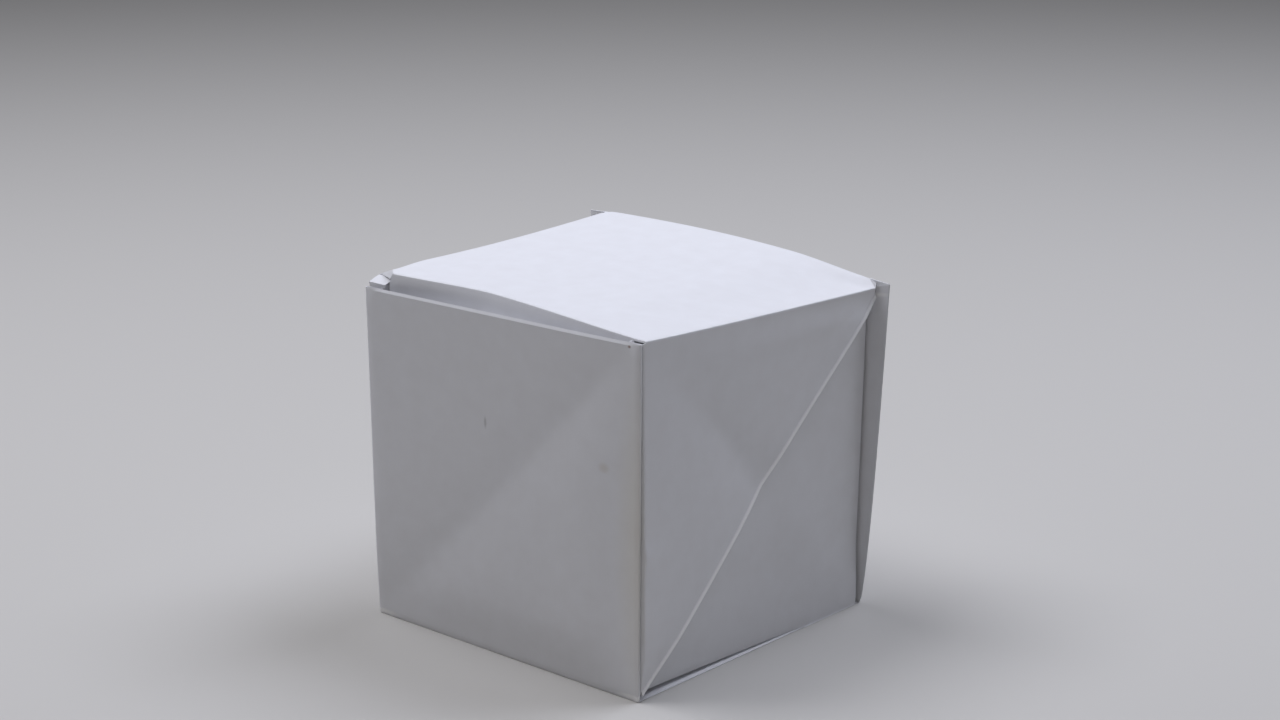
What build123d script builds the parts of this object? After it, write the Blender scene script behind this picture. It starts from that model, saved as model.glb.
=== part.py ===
from build123d import *
import os

# A hollow cube folded from one sheet of plain white paper, modelled as one solid in millimetres.
# The sheet is three squares wide. Its middle column wraps round the cube: front panel, base,
# back panel, top, and a short tongue tucked behind the front panel. The outer columns fold in
# at the two sides and lock there. The origin is the middle of the base, and +Z is up.
# The front panel, with the open slot along its top edge, faces -Y. The locked sides face -X and +X.

cube = 70.0  # edge of one square of the sheet
paper = 0.2  # thickness of the sheet
air = 0.25  # air between two folded layers
tongue = 17.0  # closing tongue, what the sheet has left after four squares
front_drop = 0.8  # raw upper edge of the front panel below the top
front_flare_x = 0.5  # upper left corner of the front panel, sideways
front_flare_y = 1.2  # upper left corner of the front panel, outwards
setback_left = 6.0  # fold of the top behind the front panel, at its left end
setback_middle = 7.6  # the same fold where it bows in most
setback_right = 1.5  # the same fold at its right end
middle_place = -8.0  # X of the place where the fold bows in most
back_lift = 3.0  # rise of the top at its back left corner
tongue_inset = 1.0  # clearance between the tongue and the side layers
flap_drop = 4.5  # side flap's diagonal below the top, at the back
flap_foot = 1.5  # side flap's lower tip above the base
lock_tab = 17.0  # width of the strip that holds the side flap in its slot
slot_back = 2.2  # side panel's rear fold in from the back panel
back_flare = 5.1  # back panel's upper corners beyond the cube
back_flare_low = 3.4  # the same lower down
flare_height = 30.0  # height of that lower place
lip_depth = 1.2  # crimp under the side panel, inwards
lip_height = 1.5  # crimp under the side panel, upwards
lip_length = 52.0  # crimp along the base edge, from the front corner

half = cube / 2
pitch = paper + air
front_height = cube - front_drop
second_ply = -half + pitch
flap_edge = -half + 2 * pitch
panel_edge = flap_edge + pitch
gusset_tip = panel_edge + pitch
rear_fold = half - slot_back
rear_return = rear_fold + pitch
gusset_foot = paper + pitch

# Layers at each side, counted inwards from the outside.
FLAP_OUTER = 0
FLAP_INNER = 1
SIDE_PANEL = 2
REAR_GUSSET_OUTER = 3
REAR_GUSSET_INNER = 4
FRONT_GUSSET_OUTER = 5
LOCK_TAB = 6
FRONT_GUSSET_INNER = 7


def inset(layer):
    # Distance of a side layer's outer face from the outermost plane.
    return layer * pitch


def roof(x, y):
    # Height of the top over a point of the base. It rises evenly to the back left corner.
    return cube + back_lift * (half - x) / cube * (y + half) / cube


def setback(x):
    # Distance of the top's front fold from the front panel at a given X.
    if x < middle_place:
        share = (x + half) / (middle_place + half)
        return setback_left + (setback_middle - setback_left) * share
    share = (x - middle_place) / (half - middle_place)
    return setback_middle + (setback_right - setback_middle) * share


def layer_panel(side, outline, first, last):
    # A flat piece of one side, from the outer face of one layer to the inner face of another.
    with BuildSketch(Plane.YZ.offset(side * (half - inset(first)))) as shape:
        with BuildLine():
            Polyline(*outline, close=True)
        make_face()
    extrude(shape.sketch, amount=-side * (inset(last) - inset(first) + paper))


def level_section(height, outline):
    # A closed outline at one height, for a loft between heights.
    with BuildSketch(Plane.XY.offset(height)) as shape:
        with BuildLine():
            Polyline(*outline, close=True)
        make_face()
    return shape.sketch


def cross_section(place, outline):
    # A closed outline in the plane X = place, for a loft along X.
    with BuildSketch(Plane.YZ.offset(place)) as shape:
        with BuildLine():
            Polyline(*outline, close=True)
        make_face()
    return shape.sketch


def band(path):
    # Outline of the sheet in section: its outer face follows the path, its thickness lies on the right.
    points = [Vector(*p) for p in path]
    ways = [(b - a).normalized() for a, b in zip(points, points[1:])]
    normals = [Vector(way.Y, -way.X) for way in ways]
    inner = [points[0] + normals[0] * paper]
    for point, before, after in zip(points[1:-1], normals, normals[1:]):
        inner.append(point + (before + after) * (paper / (1 + before.dot(after))))
    inner.append(points[-1] + normals[-1] * paper)
    return [(p.X, p.Y) for p in points + inner[::-1]]


def back_path(flare):
    # Back panel at one height, with both ends folded back into the rear gussets.
    x = half - inset(REAR_GUSSET_INNER) - paper / 2
    right = [(half + flare, half), (x, rear_return)]
    left = [(-px, py) for px, py in right[::-1]]
    return left + right


def front_path(flare_x, flare_y):
    # Front panel at one height, with both ends folded back behind it as a second ply.
    ply_end = half - inset(FRONT_GUSSET_INNER) - paper
    inner = second_ply + paper
    return [
        (ply_end, inner),
        (half, inner),
        (half, -half),
        (-half - flare_x, -half - flare_y),
        (-half, inner),
        (-ply_end, inner),
    ]


def side_lock(side):
    # Everything folded in at one side, with the flap that hangs over it from the top.
    face = side * half
    top_front = roof(face, flap_edge) - paper / 2
    top_rear = roof(face, rear_fold) - paper / 2

    def under(y, plies):
        # Height under the top, below a number of plies with their air.
        return roof(face, y) - plies * pitch

    # Flap: outer ply hinged on the top, inner ply behind it, folded on the diagonal.
    tip = (flap_edge, flap_foot)
    heel = (rear_fold, top_rear - flap_drop)
    slope = (heel[1] - tip[1]) / (heel[0] - tip[0])
    inner_tip = (panel_edge, flap_foot + slope * pitch)
    layer_panel(side, [tip, (flap_edge, top_front), (rear_fold, top_rear), heel], FLAP_OUTER, FLAP_OUTER)
    layer_panel(
        side,
        [inner_tip, (panel_edge, under(panel_edge, 1)), (rear_fold, under(rear_fold, 1)), heel],
        FLAP_INNER,
        FLAP_INNER,
    )
    fold_width = 2 * paper
    layer_panel(
        side,
        [tip, heel, (heel[0], heel[1] + fold_width), (tip[0], tip[1] + fold_width)],
        FLAP_OUTER,
        FLAP_INNER,
    )

    # Over the raw upper edge of the side panel, from the flap's inner ply to the rear gusset.
    layer_panel(
        side,
        [
            (gusset_tip, under(gusset_tip, 1) - paper),
            (gusset_tip, under(gusset_tip, 1)),
            (rear_fold, under(rear_fold, 1)),
            (rear_fold, under(rear_fold, 1) - paper),
        ],
        FLAP_INNER,
        REAR_GUSSET_INNER,
    )

    # Side panel, standing on the base, with the crimp along its lower edge.
    lip_end = panel_edge + lip_length
    layer_panel(
        side,
        [
            (panel_edge, lip_height),
            (panel_edge, under(panel_edge, 2)),
            (rear_fold, under(rear_fold, 2)),
            (rear_fold, 0),
            (lip_end, 0),
            (lip_end, paper / 2),
        ],
        SIDE_PANEL,
        SIDE_PANEL,
    )
    panel_face = side * (half - inset(SIDE_PANEL))
    crimp = Face(
        Wire.make_polygon(
            [
                (panel_face - side * lip_depth, panel_edge, paper / 2),
                (panel_face, panel_edge, lip_height),
                (panel_face, lip_end, paper / 2),
            ]
        )
    )
    extrude(crimp, amount=paper, dir=(-side, 0, 0))

    # Rear gusset: two triangles joined on the diagonal from the base corner.
    rear_foot = (rear_fold, gusset_foot)
    rear_top = (gusset_tip, under(gusset_tip, 2))
    layer_panel(
        side,
        [rear_foot, (rear_fold, under(rear_fold, 2)), rear_top],
        REAR_GUSSET_OUTER,
        REAR_GUSSET_OUTER,
    )
    layer_panel(
        side,
        [
            rear_foot,
            (rear_return + fold_width, gusset_foot),
            (rear_return + fold_width, under(rear_return + fold_width, 1)),
            (gusset_tip, under(gusset_tip, 1)),
            rear_top,
        ],
        REAR_GUSSET_INNER,
        REAR_GUSSET_INNER,
    )
    layer_panel(
        side,
        [
            rear_foot,
            rear_top,
            (rear_top[0] + fold_width, rear_top[1]),
            (rear_foot[0], rear_foot[1] + fold_width),
        ],
        REAR_GUSSET_OUTER,
        REAR_GUSSET_INNER,
    )
    layer_panel(
        side,
        [
            (rear_fold, gusset_foot),
            (rear_fold, under(rear_fold, 2)),
            (rear_fold - paper, under(rear_fold, 2)),
            (rear_fold - paper, gusset_foot),
        ],
        SIDE_PANEL,
        REAR_GUSSET_OUTER,
    )

    # Front gusset: two triangles joined on the other diagonal.
    front_foot = (panel_edge, lip_height)
    front_top = (rear_fold, under(rear_fold, 2))
    layer_panel(
        side,
        [front_foot, (panel_edge, under(panel_edge, 2)), front_top],
        FRONT_GUSSET_OUTER,
        FRONT_GUSSET_OUTER,
    )
    layer_panel(
        side,
        [
            front_foot,
            (second_ply, lip_height),
            (second_ply, under(second_ply, 2)),
            front_top,
        ],
        FRONT_GUSSET_INNER,
        FRONT_GUSSET_INNER,
    )
    layer_panel(
        side,
        [
            front_foot,
            (panel_edge, lip_height + fold_width),
            (front_top[0] - fold_width, front_top[1]),
            front_top,
        ],
        FRONT_GUSSET_OUTER,
        FRONT_GUSSET_INNER,
    )
    layer_panel(
        side,
        [
            (panel_edge, lip_height),
            (panel_edge, under(panel_edge, 2)),
            (panel_edge + paper, under(panel_edge, 2)),
            (panel_edge + paper, lip_height),
        ],
        SIDE_PANEL,
        FRONT_GUSSET_OUTER,
    )

    # Lock tab: the flap's front edge folded round into the front gusset.
    tab_end = flap_edge + lock_tab
    tab_foot = lip_height + 2 * pitch + fold_width
    layer_panel(
        side,
        [
            (flap_edge, tab_foot),
            (flap_edge, under(flap_edge, 2)),
            (tab_end, under(tab_end, 2)),
            (tab_end, tab_foot + lock_tab),
        ],
        LOCK_TAB,
        LOCK_TAB,
    )
    layer_panel(
        side,
        [
            (flap_edge, tab_foot),
            (flap_edge, under(flap_edge, 2)),
            (flap_edge + paper, under(flap_edge, 2)),
            (flap_edge + paper, tab_foot),
        ],
        FLAP_OUTER,
        LOCK_TAB,
    )


with BuildPart() as folded_sheet:
    # Base.
    Box(cube, cube, paper, align=(Align.CENTER, Align.CENTER, Align.MIN))

    # Front panel, with its upper left corner sprung out.
    front_levels = [
        level_section(0, band(front_path(0, 0))),
        level_section(front_height, band(front_path(front_flare_x, front_flare_y))),
    ]
    loft(front_levels, ruled=True)

    # Back panel, with its ends sprung out more and more towards the top.
    back_levels = [(0, 0), (flare_height, back_flare_low), (cube - pitch, back_flare)]
    loft([level_section(height, band(back_path(flare))) for height, flare in back_levels], ruled=True)
    with BuildSketch(Plane.XZ.offset(-half)) as back_upper:
        with BuildLine():
            Polyline(
                (-half, cube - 2 * pitch),
                (half, cube - 2 * pitch),
                (half, roof(half, half) - paper / 2),
                (-half, roof(-half, half) - paper / 2),
                close=True,
            )
        make_face()
    extrude(back_upper.sketch, amount=paper)

    # Top, from its fold on the back panel to its fold behind the front panel.
    top_sections = []
    for place in (-half, middle_place, half):
        front = -half + setback(place)
        edge = [
            (front, roof(place, front)),
            (half, roof(place, half)),
            (half, roof(place, half) - paper),
            (front, roof(place, front) - paper),
        ]
        top_sections.append(cross_section(place, edge))
    loft(top_sections, ruled=True)

    # Tongue, sloping down from the top's front fold to the back of the front panel.
    tongue_reach = half - inset(FRONT_GUSSET_INNER) - paper - tongue_inset
    tongue_sections = []
    for place in (-tongue_reach, middle_place, tongue_reach):
        front = -half + setback(place)
        height = roof(place, front) - paper / 2
        edge = [
            (front + paper / 2, height),
            (front + paper * 3 / 2, height),
            (second_ply + paper, height - tongue),
            (second_ply, height - tongue),
        ]
        tongue_sections.append(cross_section(place, edge))
    loft(tongue_sections, ruled=True)

    side_lock(1)
    side_lock(-1)

folded_sheet.part.label = "folded_sheet"
os.makedirs("parts", exist_ok=True)
export_step(folded_sheet.part, "parts/folded_sheet.step")
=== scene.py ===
import bpy
import bmesh
import math
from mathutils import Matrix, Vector


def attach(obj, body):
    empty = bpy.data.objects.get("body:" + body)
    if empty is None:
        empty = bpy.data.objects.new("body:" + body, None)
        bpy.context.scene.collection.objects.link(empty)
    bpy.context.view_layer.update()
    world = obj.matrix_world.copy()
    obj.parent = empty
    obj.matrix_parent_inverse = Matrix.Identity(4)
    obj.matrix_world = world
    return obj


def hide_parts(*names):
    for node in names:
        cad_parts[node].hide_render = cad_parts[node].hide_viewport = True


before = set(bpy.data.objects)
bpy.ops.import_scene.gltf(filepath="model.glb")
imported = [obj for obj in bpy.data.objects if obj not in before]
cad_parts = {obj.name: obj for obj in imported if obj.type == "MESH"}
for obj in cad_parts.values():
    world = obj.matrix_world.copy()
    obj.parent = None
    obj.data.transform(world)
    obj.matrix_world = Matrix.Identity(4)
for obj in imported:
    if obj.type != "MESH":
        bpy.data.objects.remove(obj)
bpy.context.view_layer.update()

mm = 0.001
snap = 0.02 * mm  # two heights or depths this close count as the same
hair = 0.01 * mm
margin = 0.1 * mm
print("frame loaded")


# cube folded from one sheet, its front panel with the open slot on -Y

sheet = {
    "edge": 70 * mm,  # one square of the sheet
    "paper": 0.2 * mm,
    "air": 0.25 * mm,  # between two folded layers
    "cells": 48,  # mesh cells along one square
    "foldRadius": 0.16 * mm,
    "foldAngle": 50,  # degrees, from which a fold is rounded
    "smoothAngle": 25,
    "narrowest": 2.2,  # fold radii, for a strip beside a rounded fold
}
half = sheet["edge"] / 2
pitch = sheet["paper"] + sheet["air"]
cells = sheet["cells"]
fanRows = cells // 3  # rows of a hidden ply that narrows to a corner
roofFrom = 0.96 * sheet["edge"]  # what is higher belongs to the top

# how many layer spacings the plies of each side lie inside the flap
plies = {
    "sidePanel": 2,
    "rearGusset": (3, 4),
    "frontGusset": (5, 7),
    "lockTab": 6,  # in the pocket of the front gusset
}

top = {
    "leftSetback": 1.3 * mm,  # front fold of the top, behind the front panel
    "middleSetback": 5.0 * mm,
    "rightSetback": 1.4 * mm,
    "middleX": -8.0 * mm,
    "softShare": 0.6,  # how much of the front fold's course is a soft curve
    "cornerSetback": 2.7 * mm,  # more at the front left corner
    "cornerFrom": 5.0 * mm,
    "cornerInset": 1.7 * mm,  # the same corner, sideways
    "insetFrom": 20.0 * mm,
    "insetFull": 32.0 * mm,
    "insetWidth": 6.0 * mm,
    "frontLift": 1.7 * mm,  # front left corner
    "backLift": 2.6 * mm,  # back left corner
    "arch": 1.2 * mm,  # along the back edge
    "sag": 0.7 * mm,  # along the left edge
    "droop": 2.3 * mm,  # right edge, towards the back
    "droopHeld": 0.66,  # share of the droop that the back edge takes up
    "heldReach": 1.5 * mm,  # over this depth at the corner
    "heldSpread": 0.6,  # and more away from it
    "bulge": 2.3 * mm,  # right edge, sideways
    "bulgeFrom": 15.0 * mm,
    "rise": 0.8,  # how droop and bulge grow towards the back
    "tongue": 17.0 * mm,
    "tongueCells": 8,
    "tongueHalf": 32.5 * mm,
    "tongueEnd": 1.5 * pitch,  # behind the front panel
    "skirtFrom": 30.5 * mm,  # past this the front fold comes down to the ledge
    "cornerRound": 2.6 * mm,
    "cornerBack": 0.3 * mm,  # back right corner, backwards
    "cornerWidth": 5.0 * mm,
    "cornerDepth": 4.0 * mm,
    "backEdge": 0.5 * mm,  # the edge itself keeps its place
}
front = {
    "height": 69.15 * mm,
    "tilt": 0.4 * mm,  # half the rise of the raw edge from left to right
    "flareX": 0.8 * mm,  # upper left corner, sideways
    "flareOut": 1.3 * mm,  # upper left corner, outwards
    "bellyOut": 1.0 * mm,  # lower right half, outwards
    "bellyFoldReach": 16.0 * mm,  # over which it grows from the right fold
    "bellyBaseReach": 12.0 * mm,  # and from the base
    "creaseSoft": 1.6 * mm,
    "creaseReach": 8.0 * mm,  # where the paper has sprung back beside the crease
    "creaseShare": 0.55,
    "curl": 0.35 * mm,  # the raw edge leans back, over the last half millimetre
    "curlHeight": 0.5 * mm,
    "curlEnds": 3.0 * mm,
    "bow": 0.2 * mm,
    "endDrop": 2.0 * mm,  # the hidden ends stay lower than the raw edge
}
flap = {
    "edge": -half + 2 * pitch - 0.12 * mm,
    "rear": half - 0.7 * mm,
    "inwards": plies["lockTab"] * pitch,
    "drop": 2.8 * mm,
    "firstRow": 0.5 * mm,
    "foot": 1.2 * mm,
    "lowest": 0.6 * mm,  # lower down only the base's own edge lies here
    "stand": 1.05 * mm,  # the flap's spring away from the panel beneath
    "standReach": 6.0 * mm,
    "standBase": 12.0 * mm,
    "standTop": 6.0 * mm,
    "standCalm": 0.7,  # how much less it springs towards the top's front corner
    "bulgeReach": 6.0 * mm,  # how far down the top's bulge shows, at the back
    "bulgeReachMore": 8.0 * mm,  # and more at the front
    "bulgeStart": 8.0 * mm,
    "bead": 0.5 * mm,  # the pressed fold stands proud of the flap
    "beadWidth": 0.75 * mm,
    "creaseSoft": 1.2 * mm,
    "dent": 0.35 * mm,  # small dent in the front edge of the right flap
    "dentHeight": 28.5 * mm,
    "dentSize": 2.0 * mm,
    "dentStretch": 1.4,  # longer than high
    "lockTab": 17.0 * mm,
    "tabFrom": 1.6 * mm,
    "tabLead": 0.5 * mm,
    "tabDrop": 1.2 * mm,
    "tabRows": 4,
}
ledge = {
    "height": {1: 69.45 * mm, -1: 70.1 * mm},  # top of the strip in front of the top's corner
    "bulge": 2.2 * mm,
    "bulgeReach": 14.0 * mm,
    "bulgeFrom": 10.0 * mm,  # behind the middle
    "fall": 0.9 * mm,  # the left ledge drops towards the front
    "rows": 3,
    "step": 0.4 * mm,  # length of the drop from the top's corner to the ledge
    "squeeze": 0.3,  # share of their spacing that the two highest rows keep there
    "from": 10.0 * mm,  # in front of the middle, where the flap's spring starts to carry the ledge
    "full": 31.0 * mm,
    "cover": 6.0 * mm,  # further back the spring fades in over this height below the top
    "inset": 0.3 * mm,  # what lies this much higher is rolled in with the top
    "backEnd": 6.0 * mm,  # in front of the middle, where the ledge's own fold ends
    "width": 1.0 * mm,
    "reach": 1.2 * mm,
}
sidePanel = {
    "edge": -half + 3 * pitch,
    "rear": half - 0.7 * mm,
    "top": 2 * pitch,  # below the top
    "lipDepth": 2.2 * mm,
    "flush": 0.75 * mm,  # past the lip the panel stands out to the edge of the base
    "flushReach": 16.0 * mm,
    "lipHeight": 1.25 * mm,
    "lipEnd": 18.35 * mm,
    "rearBulge": 1.3 * mm,
    "bulgeFrom": 5.0 * mm,
    "bulgeHeight": 60.0 * mm,
    "bulgeRise": 0.7,
    "ridge": 0.5 * mm,
    "ridgeRound": 1.5 * mm,
    "ridgeSoft": 9.0 * mm,
    "ridgeStart": 6.0 * mm,
    "ridgeRun": 12.0 * mm,
    "ridgeBase": 12.0 * mm,
    "ridgeRear": 10.0 * mm,
}
back = {
    "flare": 5.1 * mm,
    "flareCurve": 0.62,
    "tipDrop": 0.45 * mm,
    "endTop": 3 * pitch,  # the hidden ends stay this far below the top
    "bow": 0.5 * mm,
    "bowBelow": 1.0 * mm,
}


def clamp(value):
    return max(0.0, min(1.0, value))


def ramp(value, start, end):
    # smooth step from 0 at start to 1 at end
    share = clamp((value - start) / (end - start))
    return share * share * (3 - 2 * share)


def near(value, target, reach=snap):
    return abs(value - target) < reach


def roofHeight(x, y):
    # top of the cube over a point of its base
    left = (half - x) / sheet["edge"]
    rear = max(0.0, (y + half) / sheet["edge"])
    lift = top["frontLift"] + (top["backLift"] - top["frontLift"]) * rear
    lift -= top["sag"] * math.sin(math.pi * rear)
    arch = top["arch"] * math.sin(math.pi * left) * rear
    reach = top["heldReach"] + top["heldSpread"] * (half - x)
    held = 1 - top["droopHeld"] * ramp(y, half - reach, half)
    droop = top["droop"] * held * rear ** top["rise"] * ramp(x, top["bulgeFrom"], half)
    return sheet["edge"] + left * lift + arch - droop


def setback(x):
    # how far the top's front fold stays behind the front panel
    if x < top["middleX"]:
        share = (x + half) / (top["middleX"] + half)
        ends = (top["leftSetback"], top["middleSetback"])
    else:
        share = (x - top["middleX"]) / (half - top["middleX"])
        ends = (top["middleSetback"], top["rightSetback"])
    soft = share * share * (3 - 2 * share) * top["softShare"] + share * (1 - top["softShare"])
    corner = max(0.0, (top["cornerFrom"] - half - x) / top["cornerFrom"]) ** 2
    return ends[0] + (ends[1] - ends[0]) * soft + top["cornerSetback"] * corner


def pickRim(piece, test):
    # select the open edges whose two ends both pass
    mesh = bmesh.from_edit_mesh(piece.data)
    mesh.select_mode = {"EDGE"}
    for face in mesh.faces:
        face.select = False
    for edge in mesh.edges:
        edge.select = False
    for vert in mesh.verts:
        vert.select = False
    for edge in mesh.edges:
        if edge.is_boundary and all(test(vert.co) for vert in edge.verts):
            edge.select_set(True)
    mesh.select_flush_mode()
    bmesh.update_edit_mesh(piece.data)


def moveVerts(piece, shift, onlyPicked=False):
    mesh = bmesh.from_edit_mesh(piece.data)
    for vert in mesh.verts:
        if vert.select or not onlyPicked:
            vert.co += Vector(shift(vert.co))
    bmesh.update_edit_mesh(piece.data)


def drawOut(piece, move, steps=1):
    # extrude the picked edges in even steps
    part = Vector(move) / steps
    for step in range(steps):
        bpy.ops.mesh.extrude_region_move(TRANSFORM_OT_translate={"value": part})


def pullTo(piece, target, steps=1):
    # extrude the picked edges in even steps, each point to its own target
    for step in range(steps):
        bpy.ops.mesh.extrude_region_move()
        left = steps - step
        moveVerts(piece, lambda co: (Vector(target(co)) - co) / left, onlyPicked=True)


def startSheet(name):
    # the front panel
    bpy.ops.object.select_all(action="DESELECT")
    bpy.ops.mesh.primitive_grid_add(
        x_subdivisions=cells,
        y_subdivisions=cells,
        size=sheet["edge"],
        location=(0, -half, half),
        rotation=(math.pi / 2, 0, 0),
    )
    piece = bpy.context.object
    piece.name = name
    bpy.ops.object.transform_apply(location=True, rotation=True, scale=True)
    return piece


def foldBelt(piece):
    # base, back panel and top follow the front panel, as one strip
    bpy.ops.object.mode_set(mode="EDIT")
    pickRim(piece, lambda co: near(co.z, 0))
    drawOut(piece, (0, sheet["edge"], 0), cells)
    drawOut(piece, (0, 0, sheet["edge"]), cells)
    run = sheet["edge"] - top["leftSetback"]
    drawOut(piece, (0, -run, 0), cells)

    def shapeTop(co):
        if not near(co.z, sheet["edge"]) or co.y < -half + pitch:
            return (0, 0, 0)
        share = (half - co.y) / run
        y = half - share * (sheet["edge"] - setback(co.x))
        return (0, y - co.y, roofHeight(co.x, y) - co.z)

    moveVerts(piece, shapeTop)
    print("belt folded")


def foldTongue(piece):
    # from the top's front fold down behind the front panel
    def onFrontFold(co):
        return -half + pitch < co.y < 0 and co.z > roofFrom and abs(co.x) < top["tongueHalf"]

    def goal(co):
        foldHeight = roofHeight(co.x, -half + setback(co.x))
        return (co.x, -half + top["tongueEnd"], foldHeight - top["tongue"])

    pickRim(piece, onFrontFold)
    pullTo(piece, goal, top["tongueCells"])


def cutRawEdge(piece):
    # the front panel ends a little lower on the left than on the right
    secondRow = sheet["edge"] * (1 - 1 / cells)

    def shapeFront(co):
        if not near(co.y, -half):
            return (0, 0, 0)
        height = front["height"] + front["tilt"] * co.x / half
        if near(co.z, secondRow):
            # close under the raw edge, for its curl
            return (0, 0, height - front["curlHeight"] - co.z)
        return (0, 0, co.z * (height / sheet["edge"] - 1))

    moveVerts(piece, shapeFront)


def foldFrontEnds(piece):
    # both ends of the front panel turn back behind it and on into the side
    for side in (1, -1):
        inner = side * (half - plies["frontGusset"][1] * pitch)
        rim = front["height"] - front["endDrop"]
        pickRim(piece, lambda co: near(co.x, side * half) and near(co.y, -half))
        drawOut(piece, (0, pitch, 0))
        pullTo(piece, lambda co: (inner, co.y, co.z), 2)
        pullTo(piece, lambda co: (inner, sidePanel["rear"], rim), fanRows)


def backFlare(z):
    return back["flare"] * (max(z, 0) / sheet["edge"]) ** back["flareCurve"]


def foldBackEnds(piece):
    # both ends of the back panel spring out, turn back, and fan out as the rear gusset
    tip = 1 - back["tipDrop"] / sheet["edge"]
    for side in (1, -1):
        inner = side * (half - plies["rearGusset"][1] * pitch)
        rear = sidePanel["rear"]
        rearTop = min(sheet["edge"], roofHeight(inner, rear)) - back["endTop"]
        corner = (inner, sidePanel["edge"] + pitch, sheet["edge"] - back["endTop"])
        pickRim(piece, lambda co: near(co.x, side * half) and near(co.y, half))
        pullTo(piece, lambda co: (side * (half + backFlare(co.z)), half, co.z * tip))
        pullTo(piece, lambda co: (inner, rear, co.z * rearTop / (sheet["edge"] * tip)))
        pullTo(piece, lambda co: corner, fanRows)


def lipShare(y):
    # the slot along the base is deepest at the front and closes towards the back
    return clamp((sidePanel["lipEnd"] - y) / (sidePanel["lipEnd"] - sidePanel["edge"]))


def foldSidePanels(piece):
    # crimp along the base, the side panel, and the gusset plies at its two ends
    floorPly = sheet["paper"]
    frontEnd = sidePanel["edge"]
    rearEnd = sidePanel["rear"] - 0.5 * pitch
    toRearGusset = (plies["rearGusset"][0] - plies["sidePanel"]) * pitch
    toFrontGusset = (plies["frontGusset"][0] - plies["sidePanel"]) * pitch
    for side in (1, -1):
        face = side * (half - plies["sidePanel"] * pitch)

        def goal(y):
            return min(sheet["edge"], roofHeight(face, y)) - sidePanel["top"]

        def onBaseEdge(co):
            between = -half + pitch < co.y < half - margin
            return near(co.x, side * half) and near(co.z, 0) and between

        def underLip(co):
            y = max(frontEnd, min(rearEnd, co.y))
            return (face - side * sidePanel["lipDepth"] * lipShare(co.y), y, floorPly)

        def overLip(co):
            return (face, co.y, floorPly + sidePanel["lipHeight"] * lipShare(co.y))

        def onRearEdge(co):
            return near(co.x, face) and co.y > rearEnd - margin and co.z > 0.9 * floorPly

        def onFrontEdge(co):
            return near(co.x, face) and co.y < frontEnd + margin and co.z > 2 * floorPly

        pickRim(piece, onBaseEdge)
        pullTo(piece, underLip)
        pullTo(piece, overLip)
        pullTo(piece, lambda co: (face, co.y, goal(co.y)), cells)
        rim = goal(rearEnd)
        pickRim(piece, onRearEdge)
        drawOut(piece, (-side * toRearGusset, 0, 0))
        pullTo(piece, lambda co: (co.x, frontEnd + pitch, rim), fanRows)
        pickRim(piece, onFrontEdge)
        drawOut(piece, (-side * toFrontGusset, 0, 0))
        pullTo(piece, lambda co: (co.x, rearEnd, rim - pitch), fanRows)


def flapSlope(side):
    # the fold on the flap's diagonal, as height gained over depth
    heel = roofHeight(side * half, flap["rear"]) - flap["drop"]
    return (heel - flap["foot"]) / (flap["rear"] - flap["edge"])


def flapDiagonal(side, y):
    return flap["foot"] + (y - flap["edge"]) * flapSlope(side)


def hangFlap(piece, side, cornerY):
    # from the top's side edge down to the diagonal, in rows that turn with it
    x = side * half
    pickRim(piece, lambda co: near(co.x, x) and co.z > roofFrom and co.y > cornerY - margin)
    pullTo(piece, lambda co: (x, min(co.y, flap["rear"]), co.z - flap["firstRow"]))
    pullTo(piece, lambda co: (x, co.y, flapDiagonal(side, co.y) + flap["beadWidth"]), cells)
    pullTo(piece, lambda co: (x, co.y, flapDiagonal(side, co.y)))


def dropToLedge(piece, side, cornerY):
    # the rows go on past the top's corner, only the highest two drop to the ledge
    x = side * half
    height = ledge["height"][side]
    cornerTop = roofHeight(x, cornerY)
    bottom = flapDiagonal(side, cornerY)

    def beside(co):
        z = co.z
        if z > height - 2 * margin:
            z = height - ledge["squeeze"] * (cornerTop - co.z)
        share = (cornerTop - co.z) / (cornerTop - bottom)
        return (x, co.y - ledge["step"], z - ledge["step"] * flapSlope(side) * share)

    pullTo(piece, beside)


def foldFrontStrip(piece, side, cornerY):
    # in front of the top's corner the flap goes on lower, on the left with a ledge on it
    x = side * half
    startY = cornerY
    startTop = roofHeight(x, cornerY)
    frontTop = ledge["height"][side]
    rows = 1
    pickRim(piece, lambda co: near(co.x, x) and near(co.y, cornerY))
    if side < 0:
        dropToLedge(piece, side, cornerY)
        startY -= ledge["step"]
        startTop = frontTop
        frontTop -= ledge["fall"]
        rows = ledge["rows"]

    def topLine(y):
        return frontTop + (startTop - frontTop) * (y - flap["edge"]) / (startY - flap["edge"])

    def toFront(co):
        share = (topLine(co.y) - co.z) / (topLine(co.y) - flapDiagonal(side, co.y))
        return (x, flap["edge"], frontTop - share * (frontTop - flap["foot"]))

    def onTopLine(co):
        return near(co.x, x) and near(co.z, topLine(co.y)) and co.y < startY + hair

    pullTo(piece, toFront, rows)
    if side < 0:
        pickRim(piece, onTopLine)
        drawOut(piece, (-side * flap["inwards"], 0, 0), 2)


def closeCorner(piece, side):
    # the top's front corner comes down to the ledge
    height = ledge["height"][side]

    def onCorner(co):
        between = -half + pitch < co.y < 0
        return side * co.x > top["skirtFrom"] and co.z > height + 2 * margin and between

    pickRim(piece, onCorner)
    pullTo(piece, lambda co: (co.x, co.y, height + 0.5 * sheet["paper"]))


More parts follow.
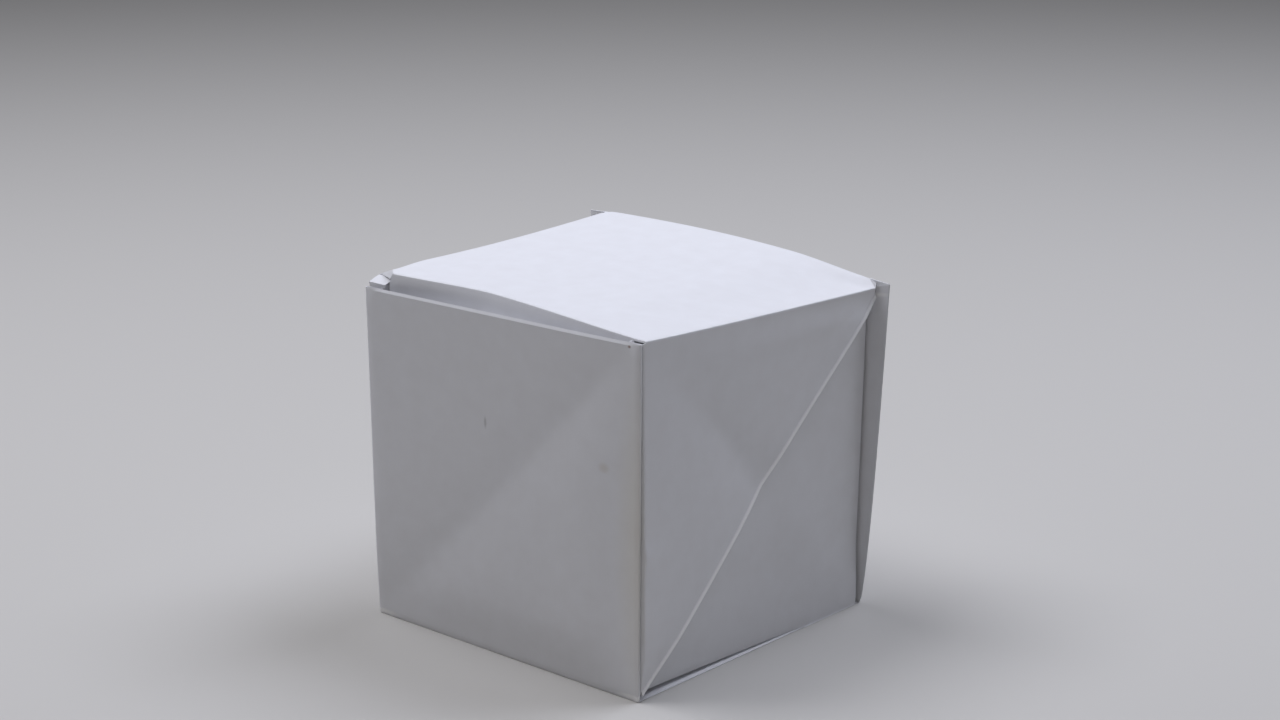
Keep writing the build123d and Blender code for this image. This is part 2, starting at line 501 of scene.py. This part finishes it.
def turnUnder(piece, side):
    # at its diagonal the flap turns back on itself, up to the top's front corner
    x = side * half

    def onDiagonal(co):
        return near(co.x, x) and near(co.z, flapDiagonal(side, co.y)) and co.y > flap["edge"] - hair

    pickRim(piece, onDiagonal)
    moveVerts(piece, lambda co: (side * flap["bead"], 0, 0), onlyPicked=True)
    drawOut(piece, (-side * (pitch + flap["bead"]), 0, 0))
    corner = (x - side * pitch, sidePanel["edge"], sheet["edge"] - 2 * pitch)
    pullTo(piece, lambda co: corner, fanRows)


def tuckLockTab(piece, side):
    # the flap's front end goes into the pocket of the front gusset
    height = ledge["height"][side]
    tabStart = flap["tabFrom"] - flap["tabLead"]
    lower = 1 - flap["tabDrop"] / height

    def onFrontEdge(co):
        between = flap["tabFrom"] < co.z < height + margin
        return near(co.x, side * half) and near(co.y, flap["edge"]) and between

    def goal(co):
        return (co.x, flap["edge"] + min(flap["lockTab"], co.z - tabStart), co.z * lower)

    pickRim(piece, onFrontEdge)
    drawOut(piece, (-side * flap["inwards"], 0, 0), 2)
    pullTo(piece, goal, flap["tabRows"])


def foldFlaps(piece):
    # the flaps hang from the top over the side panels, folded double on their diagonals
    for side in (1, -1):
        cornerY = -half + setback(side * half)
        hangFlap(piece, side, cornerY)
        foldFrontStrip(piece, side, cornerY)
        closeCorner(piece, side)
        turnUnder(piece, side)
        tuckLockTab(piece, side)


def softV(distance, soft):
    # a crease: straight on both sides, rounded at the bottom
    return math.sqrt(distance * distance + soft * soft) - soft


def sprungV(distance, soft, reach):
    # a crease that is steepest beside its bottom and flattens out, from 0 to 1
    return 1 - math.exp(-softV(distance, soft) / reach)


def relaxFront(co):
    # crease from the top right to the bottom left corner, and the panel's slight bow
    across = ((co.z - half) - co.x) / math.sqrt(2)
    run = softV(across, front["creaseSoft"]) / (sheet["edge"] / math.sqrt(2))
    spring = sprungV(across, front["creaseSoft"], front["creaseReach"])
    bow = math.cos(co.x / half * math.pi / 2) * math.sin(co.z / sheet["edge"] * math.pi)
    rim = front["height"] + front["tilt"] * co.x / half
    curl = max(0.0, 1 - (rim - co.z) / front["curlHeight"])
    curl *= ramp(half - abs(co.x), 0, front["curlEnds"])
    lean = front["bow"] * bow + front["curl"] * curl
    if across > 0:
        share = run + (spring - run) * front["creaseShare"] * (1 - run)
        return Vector((-front["flareX"] * run, -front["flareOut"] * share + lean, 0))
    held = ramp(half - co.x, 0, front["bellyFoldReach"]) * ramp(co.z, 0, front["bellyBaseReach"])
    return Vector((0, -front["bellyOut"] * spring * held + lean, 0))


def relaxBack(co):
    # the back panel bows out a little between its folds
    bow = math.cos(co.x / half * math.pi / 2) * math.sin(co.z / sheet["edge"] * math.pi)
    return Vector((0, back["bow"] * bow, 0))


def rearBulge(co):
    # the gusset's thickness pushes the rear of the side outwards
    height = clamp(co.z / sidePanel["bulgeHeight"]) ** sidePanel["bulgeRise"]
    return sidePanel["rearBulge"] * height * ramp(co.y, sidePanel["bulgeFrom"], sidePanel["rear"])


def cornerInset(co):
    # the front left corner of the top is rolled in
    depth = ramp(-co.y, top["insetFrom"], top["insetFull"])
    return top["cornerInset"] * depth * ramp(-co.x, half - top["insetWidth"], half)


def flapStand(co, roof):
    # both halves spring out beside the crease from the top's front corner to the diagonal's middle
    along = (co.y + co.z - half) / math.sqrt(2)
    above = max(0.0, (co.z - half - co.y) / (sheet["edge"] / math.sqrt(2)))
    held = ramp(co.z, 0, flap["standBase"]) * ramp(roof - co.z, 0, flap["standTop"])
    spring = sprungV(along, flap["creaseSoft"], flap["standReach"])
    return flap["stand"] * spring * held * (1 - flap["standCalm"] * above)


def relaxRightFlap(co):
    # the flap follows the top's bulging edge, and its front edge has a small dent
    roof = roofHeight(half, co.y)
    rear = (co.y + half) / sheet["edge"]
    below = max(0.0, roof - co.z)
    reach = flap["bulgeReach"] + flap["bulgeReachMore"] * (1 - rear)
    edge = top["bulge"] * clamp(rear) ** top["rise"] * math.exp(-below / reach)
    fromDent = math.hypot((co.y - flap["edge"]) / flap["dentStretch"], co.z - flap["dentHeight"])
    dent = flap["dent"] * math.exp(-((fromDent / flap["dentSize"]) ** 2))
    return Vector((flapStand(co, roof) + dent + max(edge, rearBulge(co)), 0, 0))


def relaxLeftFlap(co):
    # the top's left edge keeps its place, so the bulges start below it, except at the ledge
    roof = roofHeight(-half, co.y)
    below = max(0.0, roof - co.z)
    edge = ledge["bulge"] * ramp(-co.y, -ledge["bulgeFrom"], half)
    edge *= math.exp(-below / ledge["bulgeReach"])
    out = flapStand(co, roof) + max(edge, rearBulge(co) * ramp(below, 0, flap["bulgeStart"]))
    ledgeShare = ramp(-co.y, ledge["from"], ledge["full"])
    share = (1 - ledgeShare) * ramp(below, 0, ledge["cover"])
    if co.z > ledge["height"][-1] + ledge["inset"]:
        return Vector((cornerInset(co) - out * share, 0, 0))
    return Vector((-out * (share + ledgeShare), 0, 0))


def flushFoot(co):
    # the foot of the panel comes out to the base's edge where the slot beneath it closes
    closed = (1 - lipShare(co.y)) ** 2
    return sidePanel["flush"] * closed * (1 - ramp(co.z, 0, sidePanel["flushReach"]))


def relaxSide(co, side):
    # faint ridge from the middle of the panel to its lower back corner
    along = (co.y + co.z - half) / math.sqrt(2)
    below = (co.y - co.z + half) / math.sqrt(2)
    start = sidePanel["ridgeStart"]
    hold = ramp(co.z, 0, sidePanel["ridgeBase"])
    hold *= ramp(sidePanel["rear"] - co.y, 0, sidePanel["ridgeRear"])
    rise = ramp(below, start, start + sidePanel["ridgeRun"]) * hold
    fade = math.exp(-softV(along, sidePanel["ridgeRound"]) / sidePanel["ridgeSoft"])
    ridge = sidePanel["ridge"] * rise * fade
    return Vector((side * (rearBulge(co) + flushFoot(co) + ridge), 0, 0))


def relaxTop(co):
    # right edge pushed out towards the back, front left corner rolled in, back left corner rounded
    move = Vector((0, 0, 0))
    if not near(co.y, half, top["backEdge"]):
        rear = clamp((co.y + half) / sheet["edge"])
        move.x = top["bulge"] * rear ** top["rise"] * ramp(co.x, top["bulgeFrom"], half)
        move.y = top["cornerBack"] * ramp(co.x, half - top["cornerWidth"], half)
        move.y *= ramp(co.y, half - top["cornerDepth"], half)
    radius = top["cornerRound"]
    overX = -co.x - (half - radius)
    overY = co.y - (half - radius)
    if overX > 0 and overY > 0:
        shrink = max(overX, overY) / math.hypot(overX, overY)
        move += Vector((-overX, overY, 0)) * (shrink - 1)
    move.x += cornerInset(co)
    return move


def relaxPaper(piece):
    # soft creases left by earlier folds, and the spring of the panels
    rimHeight = front["height"] + front["tilt"]

    def relax(co):
        side = 1 if co.x > 0 else -1
        depth = half - abs(co.x)
        if co.y < -half + 1.2 * pitch and co.z < rimHeight + hair:
            return relaxFront(co)
        if near(co.y, half) and 0 < co.z < sheet["edge"] - back["bowBelow"] and depth > 0:
            return relaxBack(co)
        if near(co.z, roofHeight(co.x, co.y)) and co.y > -half + pitch:
            return relaxTop(co)
        # both plies of the flap, then the side panel with the gusset ply behind it
        onFlap = -flap["bead"] - margin < depth < 1.1 * pitch
        onPanel = near(depth, 2.5 * pitch, 0.6 * pitch)
        if onFlap and co.y < flap["rear"] + margin and co.z > flap["lowest"]:
            return relaxRightFlap(co) if side > 0 else relaxLeftFlap(co)
        if onPanel and co.z > 0.5 * sheet["paper"]:
            return relaxSide(co, side)
        return (0, 0, 0)

    moveVerts(piece, relax)
    print("paper relaxed")


def roundFolds(piece):
    # every sharp fold gets the small radius of a pressed paper fold
    bpy.ops.mesh.select_mode(type="EDGE")
    bpy.ops.mesh.select_all(action="DESELECT")
    bpy.ops.mesh.edges_select_sharp(sharpness=math.radians(sheet["foldAngle"]))
    mesh = bmesh.from_edit_mesh(piece.data)
    for edge in mesh.edges:
        if not edge.select:
            continue
        # narrow strips stay as they are, and so does the ledge's fold, which starts from nothing
        narrow = min(face.calc_area() / edge.calc_length() for face in edge.link_faces)
        middle = (edge.verts[0].co + edge.verts[1].co) / 2
        onLedge = middle.x < -half + ledge["width"] and middle.y < -ledge["backEnd"]
        onLedge = onLedge and near(middle.z, ledge["height"][-1], ledge["reach"])
        if narrow < sheet["narrowest"] * sheet["foldRadius"] or onLedge:
            edge.select_set(False)
    bmesh.update_edit_mesh(piece.data)
    bpy.ops.mesh.bevel(offset=sheet["foldRadius"], segments=2, affect="EDGES", clamp_overlap=False)


def makeCube():
    piece = startSheet("folded_paper_cube")
    foldBelt(piece)
    foldTongue(piece)
    cutRawEdge(piece)
    foldFrontEnds(piece)
    foldBackEnds(piece)
    foldSidePanels(piece)
    foldFlaps(piece)
    print("sides folded and locked")
    relaxPaper(piece)
    bpy.ops.mesh.select_all(action="SELECT")
    bpy.ops.mesh.remove_doubles(threshold=hair)
    bpy.ops.mesh.dissolve_degenerate(threshold=hair)
    roundFolds(piece)
    bpy.ops.object.mode_set(mode="OBJECT")
    print("cube folded:", len(piece.data.polygons), "faces")
    return piece


def finishPaper(piece):
    wall = piece.modifiers.new("paper", "SOLIDIFY")
    wall.thickness = sheet["paper"]
    wall.offset = 0
    bpy.context.view_layer.objects.active = piece
    bpy.ops.object.modifier_apply(modifier=wall.name)
    bpy.ops.object.shade_smooth_by_angle(angle=math.radians(sheet["smoothAngle"]))
    # the base rests on the floor with its lower side
    piece.location.z = sheet["paper"] / 2
    bpy.ops.object.transform_apply(location=True, rotation=False, scale=False)


cube = makeCube()
finishPaper(cube)
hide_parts("folded_sheet")
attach(cube, "root")


# finish: uncoated copy paper, machine made and never coated or glazed, so it is matt all over and a
# crease shows only as a soft step of tone, with a faintly cloudy sheet and a fine tooth; a white
# band along each flap's diagonal fold is painted highlight

def linear(hexColour):
    parts = [int(hexColour[i:i + 2], 16) / 255 for i in (1, 3, 5)]
    return [c / 12.92 if c <= 0.04045 else ((c + 0.055) / 1.055) ** 2.4 for c in parts] + [1]


def addNode(tree, kind, links=None, **settings):
    # a setting is a property of the node or, with _ for a space, one of its sockets
    node = tree.nodes.new(kind)
    for name, value in settings.items():
        if hasattr(node, name):
            setattr(node, name, value)
        else:
            node.inputs[name.replace("_", " ")].default_value = value
    for name, source in (links or {}).items():
        tree.links.new(source, node.inputs[name])
    return node


paperLook = {
    "colour": "#E9EAEE",
    "shade": "#E2E2E5",
    "roughness": 0.92,
    "specular": 0.3,
    "cloudSize": 4 * mm,
    "toothSize": 0.25 * mm,  # coarser than real fibres, so that it shows
    "toothDepth": 0.02 * mm,
    "toothStrength": 0.6,
    # white painted highlight along each flap's diagonal fold, standing in for the light the fold
    # catches
    "paintedHighlightColour": "#FFFFFF",
    "paintedHighlightAbove": 0.35 * mm,  # middle of the painted highlight strip, over the fold
    "paintedHighlightSize": (7.0 * mm, 250.0 * mm, 0.55 * mm),
    "markCore": 0.2,  # share of a mark's half size that has its full strength
}
# traces of handling on the front panel, each with its half sizes
handMarks = {
    "pencil touch": {
        "at": (-3.9 * mm, -35.7 * mm, 47.2 * mm),
        "size": (0.45 * mm, 2.0 * mm, 1.7 * mm),
        "colour": "#55554F",
        "strength": 0.3,
    },
    "faint stain": {
        "at": (26.6 * mm, -35.7 * mm, 44.6 * mm),
        "size": (1.8 * mm, 2.0 * mm, 1.4 * mm),
        "colour": "#B5A283",
        "strength": 0.22,
    },
    "brown speck": {
        "at": (32.5 * mm, -35.4 * mm, 68.9 * mm),
        "size": (0.5 * mm, 2.0 * mm, 0.4 * mm),
        "colour": "#7A4A28",
        "strength": 0.7,
    },
    "yellowed edge": {
        "at": (36.0 * mm, -35.7 * mm, 32.0 * mm),
        "size": (8.0 * mm, 2.0 * mm, 46.0 * mm),
        "colour": "#DCD2B4",
        "strength": 0.3,
    },
}


def paintedFoldHighlight(side):
    # painted highlight: a white band along the fold on a flap's diagonal, standing in for the light
    # the fold catches
    return {
        "at": (side * half, 0, flapDiagonal(side, 0) + paperLook["paintedHighlightAbove"]),
        "size": paperLook["paintedHighlightSize"],
        "turn": math.atan(flapSlope(side)),
        "colour": paperLook["paintedHighlightColour"],
        "strength": 1.0,
    }


def addMark(tree, place, base, mark):
    # a soft-edged oval of another colour, turned about X
    offset = addNode(tree, "ShaderNodeVectorMath", {0: place}, operation="SUBTRACT")
    offset.inputs[1].default_value = mark["at"]
    turned = addNode(
        tree,
        "ShaderNodeVectorRotate",
        {"Vector": offset.outputs[0]},
        rotation_type="X_AXIS",
        Angle=-mark.get("turn", 0.0),
    )
    scaled = addNode(tree, "ShaderNodeVectorMath", {0: turned.outputs[0]}, operation="DIVIDE")
    scaled.inputs[1].default_value = mark["size"]
    reach = addNode(tree, "ShaderNodeVectorMath", {0: scaled.outputs[0]}, operation="LENGTH")
    fade = addNode(
        tree,
        "ShaderNodeMapRange",
        {"Value": reach.outputs["Value"]},
        interpolation_type="SMOOTHSTEP",
        From_Min=paperLook["markCore"],
        From_Max=1.0,
        To_Min=mark["strength"],
        To_Max=0.0,
    )
    mixed = addNode(
        tree,
        "ShaderNodeMix",
        {"Factor": fade.outputs["Result"], "A": base},
        data_type="RGBA",
        B=linear(mark["colour"]),
    )
    return mixed.outputs["Result"]


def uncoatedPaper():
    look = bpy.data.materials.new("uncoated_copy_paper")
    look.use_nodes = True
    tree = look.node_tree
    shader = tree.nodes["Principled BSDF"]
    place = addNode(tree, "ShaderNodeTexCoord").outputs["Object"]
    cloud = addNode(
        tree,
        "ShaderNodeTexNoise",
        {"Vector": place},
        Scale=1 / paperLook["cloudSize"],
        Detail=3.0,
    )
    tone = addNode(
        tree,
        "ShaderNodeMix",
        {"Factor": cloud.outputs["Fac"]},
        data_type="RGBA",
        A=linear(paperLook["colour"]),
        B=linear(paperLook["shade"]),
    )
    colour = tone.outputs["Result"]
    # the hand marks are the paper's own colour; the two bands along the flap diagonals are painted
    # highlight
    for mark in list(handMarks.values()) + [paintedFoldHighlight(1), paintedFoldHighlight(-1)]:
        colour = addMark(tree, place, colour, mark)
    tree.links.new(colour, shader.inputs["Base Color"])
    tooth = addNode(
        tree,
        "ShaderNodeTexNoise",
        {"Vector": place},
        Scale=1 / paperLook["toothSize"],
        Detail=2.0,
    )
    bump = addNode(
        tree,
        "ShaderNodeBump",
        {"Height": tooth.outputs["Fac"]},
        Distance=paperLook["toothDepth"],
        Strength=paperLook["toothStrength"],
    )
    tree.links.new(bump.outputs["Normal"], shader.inputs["Normal"])
    shader.inputs["Roughness"].default_value = paperLook["roughness"]
    shader.inputs["Specular IOR Level"].default_value = paperLook["specular"]
    return look


cube.data.materials.clear()
cube.data.materials.append(uncoatedPaper())
print("paper finished")


# studio

studio = {
    "floorSize": 6,
    "floorColour": "#C9C7C3",
    "floorRoughness": 0.9,
    "worldColour": "#EDEBE8",
    "world": 0.05,
}
# high on both sides, so that the light grazes the upright panels and shows their creases
lamps = {
    "front lamp": {"place": (-0.36, -0.18, 0.88), "power": 5.5, "size": 0.5, "colour": "#F6F7FF"},
    "rear lamp": {"place": (0.2, 0.42, 0.86), "power": 5.1, "size": 0.5, "colour": "#EDF1FF"},
    "fill": {"place": (0.6, -1.0, 0.35), "power": 0.3, "size": 0.6, "colour": "#FFF3E4"},
}


def aimAt(thing, target):
    thing.rotation_euler = (Vector(target) - thing.location).to_track_quat("-Z", "Y").to_euler()


def layFloor():
    bpy.ops.object.select_all(action="DESELECT")
    bpy.ops.mesh.primitive_plane_add(size=studio["floorSize"])
    floor = bpy.context.object
    floor.name = "floor"
    ground = bpy.data.materials.new("matt_floor")
    ground.use_nodes = True
    shader = ground.node_tree.nodes["Principled BSDF"]
    shader.inputs["Base Color"].default_value = linear(studio["floorColour"])
    shader.inputs["Roughness"].default_value = studio["floorRoughness"]
    floor.data.materials.append(ground)


def setLights():
    for name, light in lamps.items():
        bpy.ops.object.light_add(type="AREA", location=light["place"])
        lamp = bpy.context.object
        lamp.name = name
        lamp.data.energy = light["power"]
        lamp.data.size = light["size"]
        lamp.data.color = linear(light["colour"])[:3]
        aimAt(lamp, (0, 0, half))
    world = bpy.data.worlds.new("studio")
    bpy.context.scene.world = world
    world.use_nodes = True
    sky = world.node_tree.nodes["Background"]
    sky.inputs["Color"].default_value = linear(studio["worldColour"])
    sky.inputs["Strength"].default_value = studio["world"]


camera = {
    "azimuth": 40.9,
    "elevation": 15.7,
    "distance": 0.511,
    "aimHeight": 53.0 * mm,
    "aimRight": 3.5 * mm,
    "roll": 0.34,
    "focalPixels": 2546,
    "imageWidth": 1280,
    "sensorWidth": 36,  # in mm, as the lens is
    "clipStart": 0.01,
}


def setCamera():
    turn = math.radians(camera["azimuth"])
    rise = math.radians(camera["elevation"])
    right = camera["aimRight"]
    flat = math.cos(rise)
    aim = Vector((math.cos(turn) * right, math.sin(turn) * right, camera["aimHeight"]))
    away = Vector((math.sin(turn) * flat, -math.cos(turn) * flat, math.sin(rise)))
    bpy.ops.object.camera_add(location=aim + away * camera["distance"])
    eye = bpy.context.object
    eye.name = "camera"
    aimAt(eye, aim)
    eye.rotation_euler.rotate_axis("Z", math.radians(camera["roll"]))
    eye.data.sensor_width = camera["sensorWidth"]
    eye.data.lens = camera["focalPixels"] / camera["imageWidth"] * camera["sensorWidth"]
    eye.data.clip_start = camera["clipStart"]
    bpy.context.scene.camera = eye


layFloor()
setLights()
setCamera()
bpy.context.scene.view_settings.view_transform = "Standard"

print("scene ready")
